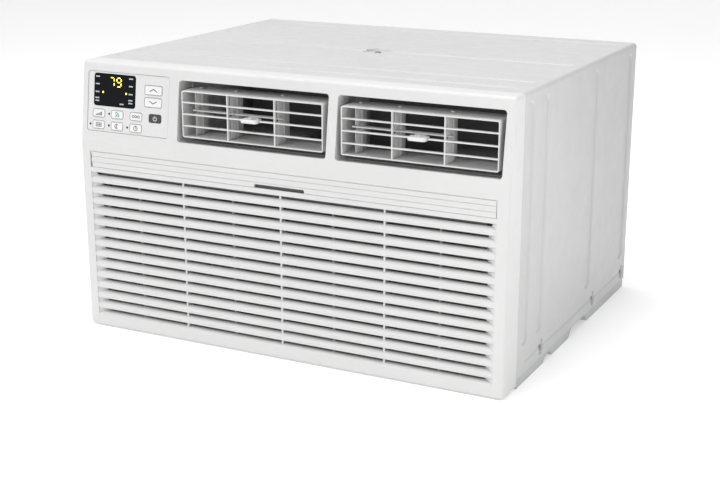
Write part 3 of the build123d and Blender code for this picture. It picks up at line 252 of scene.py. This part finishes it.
# ---------------------------------------------------------------- mesh helpers
def add_piece(name, vertices, faces, material, body, smooth=False):
    mesh = bpy.data.meshes.new(name)
    mesh.from_pydata([tuple(vertex) for vertex in vertices], [], faces)
    mesh.validate()
    work = bmesh.new()
    work.from_mesh(mesh)
    bmesh.ops.recalc_face_normals(work, faces=work.faces)
    work.to_mesh(mesh)
    work.free()
    for polygon in mesh.polygons:
        polygon.use_smooth = smooth
    mesh.materials.append(material)
    piece = bpy.data.objects.new(name, mesh)
    bpy.context.scene.collection.objects.link(piece)
    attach(piece, body)
    return piece


class Shape:
    """Collects prisms, rods and strokes for one piece."""

    def __init__(self):
        self.vertices = []
        self.faces = []

    def prism(self, outline, offset):
        """Closed prism over a planar outline of points."""
        start = len(self.vertices)
        count = len(outline)
        self.vertices += list(outline) + [point + offset for point in outline]
        self.faces.append(list(range(start, start + count)))
        self.faces.append([start + count + i for i in reversed(range(count))])
        for i in range(count):
            j = (i + 1) % count
            self.faces.append([start + i, start + j, start + count + j, start + count + i])

    def tube(self, start, end, radius, sides=12):
        """Straight closed rod."""
        along = (end - start).normalized()
        across = along.orthogonal().normalized()
        other = along.cross(across)
        ring = [2 * math.pi * i / sides for i in range(sides)]
        outline = [start + across * radius * math.cos(a) + other * radius * math.sin(a) for a in ring]
        self.prism(outline, end - start)

    def piece(self, name, material, body, slot, smooth=False):
        return add_piece(name, self.vertices, self.faces, material, body, smooth)


class Print:
    """Thin raised marks on one face, drawn in millimetres from the face's middle."""

    THICK = 0.08 * MM

    def __init__(self, centre_x, centre_v, level):
        self.shape = Shape()
        self.origin = (centre_x, centre_v, level)

    def point(self, x, v):
        return place(FACE, self.origin[0] + x * MM, self.origin[1] + v * MM, self.origin[2])

    def area(self, outline):
        self.shape.prism([self.point(x, v) for x, v in outline], FACE_OUT * self.THICK)

    def block(self, x, v, width, height):
        half_w, half_h = width / 2, height / 2
        self.area([
            (x - half_w, v - half_h), (x + half_w, v - half_h),
            (x + half_w, v + half_h), (x - half_w, v + half_h),
        ])

    def stroke(self, start, end, width):
        dx, dv = end[0] - start[0], end[1] - start[1]
        length = math.hypot(dx, dv)
        nx, nv = -dv / length * width / 2, dx / length * width / 2
        self.area([
            (start[0] + nx, start[1] + nv), (start[0] - nx, start[1] - nv),
            (end[0] - nx, end[1] - nv), (end[0] + nx, end[1] + nv),
        ])

    def arc(self, x, v, radius, width, first, last, steps=20):
        """Band along part of a circle, angles in degrees."""
        angles = [math.radians(first + (last - first) * i / steps) for i in range(steps + 1)]
        for a, b in zip(angles, angles[1:]):
            inner, outer = radius - width / 2, radius + width / 2
            corners = ((inner, a), (outer, a), (outer, b), (inner, b))
            self.area([(x + r * math.cos(angle), v + r * math.sin(angle)) for r, angle in corners])

    def disc(self, x, v, radius, sides=20):
        ring = [2 * math.pi * i / sides for i in range(sides)]
        self.area([(x + radius * math.cos(a), v + radius * math.sin(a)) for a in ring])


# ---------------------------------------------------------------- key icons
INK = surface("key_ink", (0.035, 0.035, 0.04), 0.5, edge=0.0)
# painted shade: grey line standing in for the shaded gap round each key
KEY_GAP_SHADE = surface("key_gap_painted_shade", (0.42, 0.42, 0.42), 0.5, edge=0.0)
GREEN_INK = surface("green_ink", (0.05, 0.3, 0.12), 0.5, edge=0.0)
PALE_INK = surface("pale_ink", (0.7, 0.7, 0.7), 0.5, edge=0.0)


def draw_chevron(mark, direction):
    for side in (-1, 1):
        mark.stroke((side * 5.6, -1.8 * direction), (0, 1.6 * direction), 1.05)


def draw_bars(mark):
    for i in range(5):
        mark.block(-4.4 + 2.2 * i, -2.4 + 0.45 * i, 1.3, 1.4 + 0.9 * i)


def draw_leaf(mark):
    mark.arc(-2.6, -2.6, 5.6, 0.9, 2, 88)
    mark.arc(3.0, 3.0, 5.6, 0.9, 182, 268)
    mark.stroke((-3.2, -3.2), (1.4, 1.4), 0.8)


def draw_mode(mark):
    for x in (-4.2, 0, 4.2):
        mark.arc(x, 0, 1.5, 0.8, 0, 360)


def draw_power(mark):
    mark.arc(0, -0.3, 2.6, 0.9, 125, 415)
    mark.stroke((0, 0.2), (0, 3.4), 0.9)


def draw_filter(mark):
    for x in (-4.2, -1.4, 1.4, 4.2):
        mark.stroke((x, -2.5), (x, 2.5), 0.7)
    for v in (-2.3, 0.0, 2.3):
        mark.stroke((-4.6, v), (4.6, v), 0.7)


def draw_moon(mark):
    mark.arc(-0.4, 0, 2.7, 0.9, 55, 305)
    mark.arc(2.0, 0, 2.6, 0.8, 118, 242)


def draw_clock(mark):
    mark.arc(0, 0, 2.9, 0.8, 0, 360)
    mark.stroke((0, 0), (0, 2.2), 0.7)
    mark.stroke((0, 0), (1.7, 0), 0.7)


def outline(mark, width, height, radius, line):
    """Rounded rectangle of thin raised marks, used as painted shade of the gap round a key."""
    reach_x, reach_v = width / 2 - radius, height / 2 - radius
    for corner, (side_x, side_v) in enumerate(((1, 1), (-1, 1), (-1, -1), (1, -1))):
        mark.arc(side_x * reach_x, side_v * reach_v, radius, line, 90 * corner, 90 * corner + 90, 6)
    for side in (-1, 1):
        mark.stroke((-reach_x, side * height / 2), (reach_x, side * height / 2), line)
        mark.stroke((side * width / 2, -reach_v), (side * width / 2, reach_v), line)


ICONS = {
    "up": (lambda mark: draw_chevron(mark, 1), INK),
    "down": (lambda mark: draw_chevron(mark, -1), INK),
    "fan_speed": (draw_bars, INK),
    "eco": (draw_leaf, GREEN_INK),
    "mode": (draw_mode, INK),
    "power": (draw_power, PALE_INK),
    "filter": (draw_filter, INK),
    "sleep": (draw_moon, INK),
    "timer": (draw_clock, INK),
}
KEY_FLANGE = 2.4  # the retaining flange is this much wider and taller than the key's face
KEY_RIM_INSET = 1.0
KEY_RIM_R = 2.0
KEY_RIM_LINE = 0.55


def key_face(low, high):
    """Width and height of the printed rim, in millimetres, from the box of the key and its flange."""
    return [(high[i] - low[i]) / MM - KEY_FLANGE - KEY_RIM_INSET for i in (0, 1)]


for key, (draw, ink) in ICONS.items():
    low, high = local_box("button_" + key, FACE)
    mark = Print((low[0] + high[0]) / 2, (low[1] + high[1]) / 2, high[2])
    draw(mark)
    mark.shape.piece("icon_" + key, ink, "button_" + key + "_body", "power_key_plastic")
    # painted shade: a grey rounded line just inside each key's edge stands in for the shaded gap round the
    # key
    if key != "power":
        rim = Print((low[0] + high[0]) / 2, (low[1] + high[1]) / 2, high[2])
        outline(rim, *key_face(low, high), KEY_RIM_R, KEY_RIM_LINE)
        rim.shape.piece("rim_" + key, KEY_GAP_SHADE, "button_" + key + "_body", "key_plastic")

# ---------------------------------------------------------------- display
AMBER = glow("segment_light", (0.95, 0.82, 0.05), 2.2)
LEGEND = glow("legend_light", (0.55, 0.6, 0.6), 0.35)
SEGMENTS = {"7": "abc", "9": "abcdfg"}
DIGITS = (("7", -4.6, 6.6), ("9", 6.4, 6.8))  # numeral, x and width
DIGIT_V, DIGIT_H, DIGIT_STROKE = 11.0, 11.4, 1.35
LAMPS = ((-18.9, -3.2), (18.4, -2.8))
LAMP_R = 1.3
LEGEND_X = (-28.0, 25.6)
LEGEND_V = (17.0, 7.2, -3.2, -11.2, -15.0)
LOW_LEGEND = (9.2, -17.2)
DASHES, DASH_PITCH, DASH_W, DASH_H = 4, 1.6, 1.1, 1.7


def draw_digit(mark, digit, x, v, width, height, stroke):
    """Seven-segment numeral whose middle is at x, v."""
    half_w, half_h = width / 2, height / 2
    gap = stroke * 0.85
    level = {"a": half_h, "g": 0.0, "d": -half_h}
    upright = {"b": (half_w, 1), "c": (half_w, -1), "f": (-half_w, 1)}
    for name in SEGMENTS[digit]:
        if name in level:
            mark.stroke((x - half_w + gap, v + level[name]), (x + half_w - gap, v + level[name]), stroke)
        else:
            side, sign = upright[name]
            mark.stroke((x + side, v + sign * gap), (x + side, v + sign * (half_h - gap)), stroke)


low, high = local_box("display_window", FACE)
DISPLAY_MID = ((low[0] + high[0]) / 2, (low[1] + high[1]) / 2, high[2])
lit = Print(*DISPLAY_MID)
for digit, digit_x, digit_w in DIGITS:
    draw_digit(lit, digit, digit_x, DIGIT_V, digit_w, DIGIT_H, DIGIT_STROKE)
for lamp_x, lamp_v in LAMPS:
    lit.disc(lamp_x, lamp_v, LAMP_R)
lit.shape.piece("display_segments", AMBER, "chassis", "lens_plastic")
legend = Print(*DISPLAY_MID)


def draw_dashes(x, v):
    """Short row of dashes from x onwards, in place of a printed word."""
    for i in range(DASHES):
        legend.block(x + DASH_PITCH * i, v, DASH_W, DASH_H)


for column_x in LEGEND_X:
    for row_v in LEGEND_V:
        draw_dashes(column_x - DASH_PITCH * (DASHES - 1) / 2, row_v)
draw_dashes(*LOW_LEGEND)
legend.shape.piece("display_legend", LEGEND, "chassis", "lens_plastic")


# ---------------------------------------------------------------- finned coils
FIN_THICK = 0.18 * MM
FIN_RIPPLE = 0.28  # depth of a fin's waves, as a share of the fins' pitch
COIL_TUBE_R = 4 * MM


def make_fins(name, node, count, waves, tube_rows):
    """Pack of corrugated fins with the coil's tubes through it."""
    low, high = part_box(node)
    fins = Shape()
    step = (high[0] - low[0] - FIN_THICK) / (count - 1)
    columns = 2 * waves + 1
    ripple = FIN_RIPPLE * step
    for i in range(count):
        x = low[0] + i * step
        outline = []
        for k in range(columns):
            y = low[1] + (high[1] - low[1]) * k / (columns - 1)
            shift = 0.0 if i in (0, count - 1) else ripple * (k % 2)
            outline.append(Vector((x + shift, y, low[2])))
        back = [point + Vector((FIN_THICK, 0, 0)) for point in reversed(outline)]
        fins.prism(outline + back, Vector((0, 0, high[2] - low[2])))
    pack = fins.piece(name + "_fins", MATERIALS["fin_aluminium"], "chassis", "fin_aluminium")
    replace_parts(pack, node)
    tubes = Shape()
    mid_y = (low[1] + high[1]) / 2
    pitch = (high[2] - low[2]) / tube_rows
    for row in range(tube_rows):
        z = low[2] + (row + 0.5) * pitch
        tubes.tube(Vector((low[0], mid_y, z)), Vector((high[0], mid_y, z)), COIL_TUBE_R)
    tubes.piece(name + "_through_tubes", MATERIALS["copper"], "chassis", "copper")


make_fins("condenser", "condenser_core", 216, 5, 13)
make_fins("evaporator", "evaporator_core", 180, 4, 9)


# ---------------------------------------------------------------- filter net
def make_net(pitch, yarn):
    """Crossed yarns of the filter's net, from their pitch and the radius of one yarn."""
    low, high = local_box("filter_mesh", FILTER)
    middle = (low[2] + high[2]) / 2
    net = Shape()
    rows = int((high[1] - low[1]) / pitch)
    columns = int((high[0] - low[0]) / pitch)
    for i in range(rows + 1):
        v = low[1] + (high[1] - low[1]) * i / rows
        ends = [place(FILTER, x, v, middle) for x in (low[0], high[0])]
        net.tube(ends[0], ends[1], yarn, 4)
    for i in range(columns + 1):
        x = low[0] + (high[0] - low[0]) * i / columns
        ends = [place(FILTER, x, v, middle + yarn) for v in (low[1], high[1])]
        net.tube(ends[0], ends[1], yarn, 4)
    piece = net.piece("filter_net_yarns", MATERIALS["filter_net"], "filter", "filter_net")
    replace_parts(piece, "filter_mesh")


make_net(2.4 * MM, 0.2 * MM)


# ---------------------------------------------------------------- screws
def islands(node):
    """Box of each separate solid in a CAD node."""
    work = bmesh.new()
    work.from_mesh(NODES[node].data)
    bmesh.ops.remove_doubles(work, verts=work.verts, dist=1e-6)
    todo = set(work.verts)
    boxes = []
    while todo:
        group, edge_front = set(), [todo.pop()]
        while edge_front:
            vertex = edge_front.pop()
            group.add(vertex)
            for edge in vertex.link_edges:
                other = edge.other_vert(vertex)
                if other in todo:
                    todo.remove(other)
                    edge_front.append(other)
        points = [vertex.co for vertex in group]
        boxes.append(tuple(Vector([pick(p[i] for p in points) for i in range(3)]) for pick in (min, max)))
    work.free()
    return sorted(boxes, key=lambda pair: tuple(pair[0]))


HEAD_R, HEAD_H = 4.4 * MM, 2.0 * MM
SHANK_R, SHANK_END = 2.0 * MM, 11 * MM
RECESS_DEEP, RECESS_HALF_W = 0.9 * MM, 0.42 * MM
RECESS_REACH = 0.55  # of the head's radius
CROWN = 0.55  # of the head's height
SIDE_WALL_X = 0.25  # screws further out than this are in the side walls


def screw_head(shape, top, outward, radius, height):
    """Pan head with a cross recess, from polar rings that dip inside the cross."""
    across = outward.orthogonal().normalized()
    other = outward.cross(across)
    rings, sides = 16, 64
    start = len(shape.vertices)
    shape.vertices.append(top - outward * RECESS_DEEP)
    for ring in range(1, rings + 1):
        share = ring / rings
        for side in range(sides):
            angle = 2 * math.pi * side / sides
            u, t = share * radius * math.cos(angle), share * radius * math.sin(angle)
            crown = height * CROWN * share ** 3
            recess = min(abs(u), abs(t)) < RECESS_HALF_W and max(abs(u), abs(t)) < RECESS_REACH * radius
            drop = RECESS_DEEP if recess else crown
            shape.vertices.append(top + across * u + other * t - outward * drop)
    for side in range(sides):
        following = (side + 1) % sides
        shape.faces.append([start, start + 1 + side, start + 1 + following])
        for ring in range(rings - 1):
            near, far = start + 1 + ring * sides, start + 1 + (ring + 1) * sides
            shape.faces.append([near + side, far + side, far + following, near + following])
    rim = start + 1 + (rings - 1) * sides
    base = len(shape.vertices)
    for side in range(sides):
        angle = 2 * math.pi * side / sides
        flat = across * radius * math.cos(angle) + other * radius * math.sin(angle)
        shape.vertices.append(top + flat - outward * height)
    for side in range(sides):
        following = (side + 1) % sides
        shape.faces.append([rim + side, base + side, base + following, rim + following])
    shape.faces.append([base + side for side in reversed(range(sides))])


screws = Shape()
for low, high in islands("cabinet_screws"):
    middle = (low + high) / 2
    if abs(middle.x) > SIDE_WALL_X:
        outward = Vector((math.copysign(1, middle.x), 0, 0))
        top = Vector((high.x if middle.x > 0 else low.x, middle.y, middle.z))
    else:
        outward = Vector((0, 0, 1))
        top = Vector((middle.x, middle.y, high.z))
    screw_head(screws, top, outward, HEAD_R, HEAD_H)
    screws.tube(top - outward * (HEAD_H + 0.05 * MM), top - outward * SHANK_END, SHANK_R, 16)
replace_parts(screws.piece("cabinet_screw_set", MATERIALS["zinc"], "chassis", "zinc"), "cabinet_screws")


# ---------------------------------------------------------------- knob rings
RING_INNER, RING_OUTER = 2.6 * MM, 4.0 * MM
RING_RISE = 0.8 * MM
RING_SUNK = 0.2 * MM
RING_BACK = 6.5 * MM  # from the knob's nose to the ring's middle
RING_SIDES = 28


def knob_ring(side):
    """Raised ring on the top of a louvre knob."""
    low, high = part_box(side + "_knob")
    middle = Vector(((low[0] + high[0]) / 2, low[1] + RING_BACK, high[2]))
    ring = Shape()
    up = Vector((0, 0, RING_RISE + RING_SUNK))
    for i in range(RING_SIDES):
        corners = []
        for radius, step in ((RING_INNER, i), (RING_OUTER, i), (RING_OUTER, i + 1), (RING_INNER, i + 1)):
            angle = 2 * math.pi * step / RING_SIDES
            corners.append(middle + Vector((radius * math.cos(angle), radius * math.sin(angle), -RING_SUNK)))
        ring.prism(corners, up)
    ring.piece(side + "_knob_ring", MATERIALS["knob_plastic"], side + "_slider", "knob_plastic", True)


for side in ("left", "right"):
    knob_ring(side)


# ---------------------------------------------------------------- stage, light, camera
WORLD_LEVEL = 0.46
WORLD_TILT = (-0.5, 0.0, 0.16)
FLOOR_LIFT = 0.24
STUDIO_LIGHTS = (  # name, position, target, size in metres, watts
    ("key_light", (-1.5, -2.6, 1.9), (0, 0, 0.2), 1.0, 20),
    ("rake_light", (0.95, -3.0, 0.9), (0, 0, 0.2), 0.6, 5),
    ("top_light", (-0.3, -0.3, 2.4), (0, 0, 0.3), 2.0, 36),
    ("side_light", (0.8, -0.37, 0.42), (0.3, 0.0, 0.2), 0.3, 1.5),
)
CAMERA_AZIMUTH, CAMERA_ELEVATION = 26.886, 16.355
CAMERA_DISTANCE, CAMERA_LENS = 1.965662, 68.16
CAMERA_TARGET = (-0.012671, 0.0, 0.095062)


def make_floor():
    """Pale level floor that curves up into a backdrop."""
    material, tree, shader, coords = new_material("studio_floor")
    tint = mix_colours(tree, add_noise(tree, coords, 2.0), (0.95, 0.95, 0.95), (0.93, 0.93, 0.93))
    tree.links.new(tint, shader.inputs["Base Color"])
    shader.inputs["Roughness"].default_value = 0.7
    shader.inputs["Emission Color"].default_value = (1, 1, 1, 1)
    shader.inputs["Emission Strength"].default_value = FLOOR_LIFT
    mesh = bpy.data.meshes.new("studio_floor")
    half, rise, radius, steps = 6.0, 5.0, 2.0, 12
    rows = [(-half, 0.0)]
    for i in range(steps + 1):
        angle = math.pi / 2 * i / steps
        rows.append((half - radius + radius * math.sin(angle), radius - radius * math.cos(angle)))
    rows.append((half, rise))
    vertices = [(x, y, z) for y, z in rows for x in (-2 * half, 2 * half)]
    faces = [(2 * i, 2 * i + 1, 2 * i + 3, 2 * i + 2) for i in range(len(rows) - 1)]
    mesh.from_pydata(vertices, [], faces)
    mesh.materials.append(material)
    for polygon in mesh.polygons:
        polygon.use_smooth = True
    floor = bpy.data.objects.new("studio_floor", mesh)
    bpy.context.scene.collection.objects.link(floor)


def make_world():
    """Soft white surround, brightest towards the left and above."""
    world = bpy.data.worlds.new("studio")
    bpy.context.scene.world = world
    world.use_nodes = True
    tree = world.node_tree
    direction = tree.nodes.new("ShaderNodeTexCoord").outputs["Generated"]
    tilt = tree.nodes.new("ShaderNodeVectorMath")
    tilt.operation = "DOT_PRODUCT"
    tilt.inputs[1].default_value = WORLD_TILT
    tree.links.new(direction, tilt.inputs[0])
    level = tree.nodes.new("ShaderNodeMath")
    level.operation = "ADD"
    level.inputs[1].default_value = WORLD_LEVEL
    tree.links.new(tilt.outputs["Value"], level.inputs[0])
    background = tree.nodes["Background"]
    background.inputs["Color"].default_value = (1, 1, 1, 1)
    tree.links.new(level.outputs["Value"], background.inputs["Strength"])


def add_light(name, position, target, size, power):
    """Square soft light that faces the target."""
    light = bpy.data.lights.new(name, "AREA")
    light.shape = "SQUARE"
    light.size = size
    light.energy = power
    lamp = bpy.data.objects.new(name, light)
    lamp.location = position
    lamp.rotation_euler = (Vector(target) - Vector(position)).to_track_quat("-Z", "Y").to_euler()
    bpy.context.scene.collection.objects.link(lamp)


def set_camera(azimuth, elevation, distance, target, lens):
    """Camera at two angles in degrees and a distance from the target, looking at it."""
    a, e = math.radians(azimuth), math.radians(elevation)
    back = Vector((math.sin(a) * math.cos(e), -math.cos(a) * math.cos(e), math.sin(e)))
    data = bpy.data.cameras.new("camera")
    data.lens = lens
    data.sensor_width = 36.0
    camera = bpy.data.objects.new("camera", data)
    camera.location = Vector(target) + back * distance
    camera.rotation_euler = (-back).to_track_quat("-Z", "Y").to_euler()
    bpy.context.scene.collection.objects.link(camera)
    bpy.context.scene.camera = camera


make_floor()
make_world()
bpy.context.scene.view_settings.view_transform = "Standard"
for lamp in STUDIO_LIGHTS:
    add_light(*lamp)
set_camera(CAMERA_AZIMUTH, CAMERA_ELEVATION, CAMERA_DISTANCE, CAMERA_TARGET, CAMERA_LENS)
